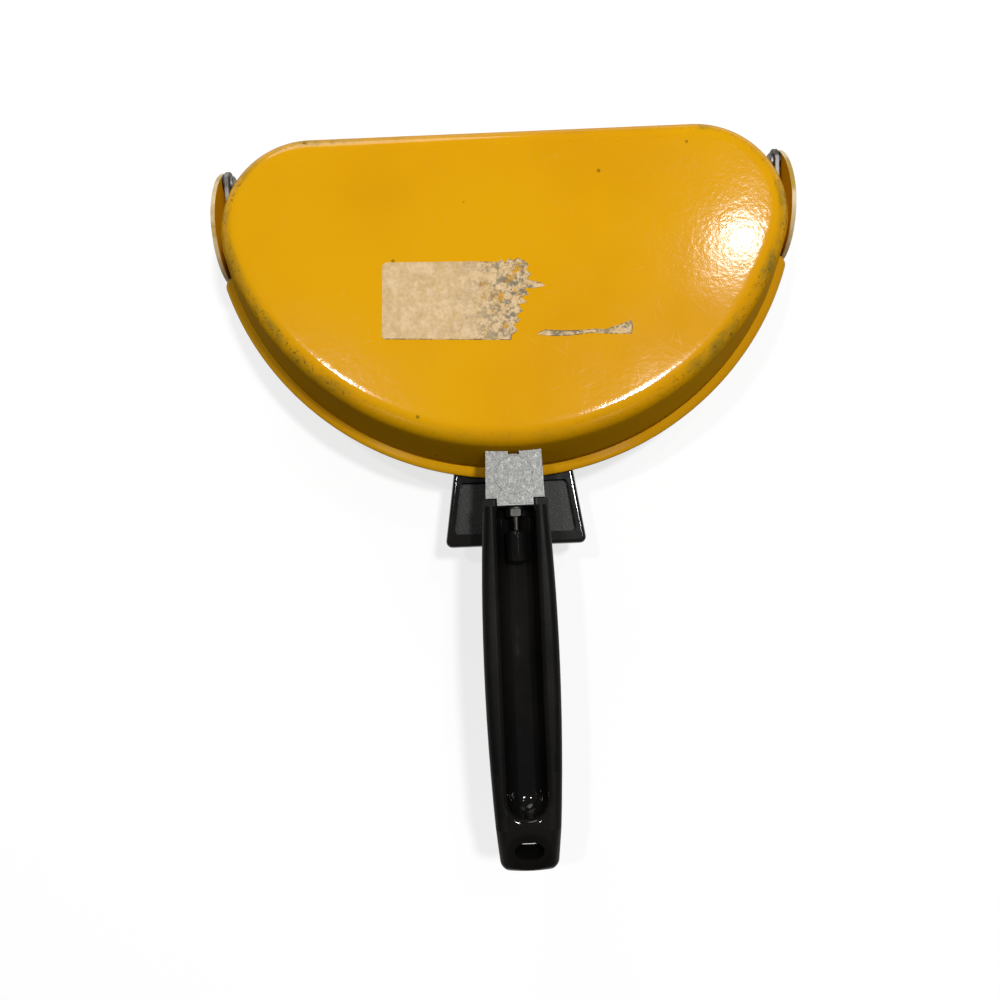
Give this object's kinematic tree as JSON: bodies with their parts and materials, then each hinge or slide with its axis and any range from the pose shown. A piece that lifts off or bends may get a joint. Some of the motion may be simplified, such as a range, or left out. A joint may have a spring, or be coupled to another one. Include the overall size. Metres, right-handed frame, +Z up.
{
  "type": "hinged omelette pan",
  "caption": "Closed double half-moon omelette pan in yellow enamel, with a long black handle on the upper half and a short black tab on the lower half.",
  "frame": {"origin": "on the resting plane, below the centre of the curved front of the pan outline", "axes": "+X along the straight edge and the hinge axis, -Y along both handles away from the hinge, +Z up with the lower pan flat on its base"},
  "size_m": [0.2464, 0.2991, 0.068],
  "materials": {
    "yellow_enamel": "glossy enamel on pressed aluminium, worn at the edges",
    "cast_aluminium": "matte cast, scratched",
    "steel": "plain bright steel, dulled",
    "rivet_aluminium": "satin",
    "black_phenolic": "glossy moulded phenolic"
  },
  "bodies": {
    "lower_half": {"lower_pan": "yellow_enamel", "hinge_pin_left": "rivet_aluminium", "hinge_pin_right": "rivet_aluminium", "hinge_washer_left": "steel", "hinge_washer_right": "steel", "tab_bracket": "steel", "tab_bracket_rivets": "rivet_aluminium", "tab_handle": "black_phenolic", "tab_screw": "steel", "tab_screw_washer": "steel"},
    "upper_half": {"upper_pan": "yellow_enamel", "handle_bracket": "cast_aluminium", "handle_bracket_rivets": "rivet_aluminium", "handle_stud": "steel", "stud_washer": "steel", "stud_nut": "steel", "long_handle": "black_phenolic"}
  },
  "joints": [
    {"name": "pan_hinge", "type": "hinge", "parent": "lower_half", "child": "upper_half", "pos_m": [0, 0.00499, 0.037], "axis": [-1, 0, 0], "range_deg": [0, 95]}
  ]
}
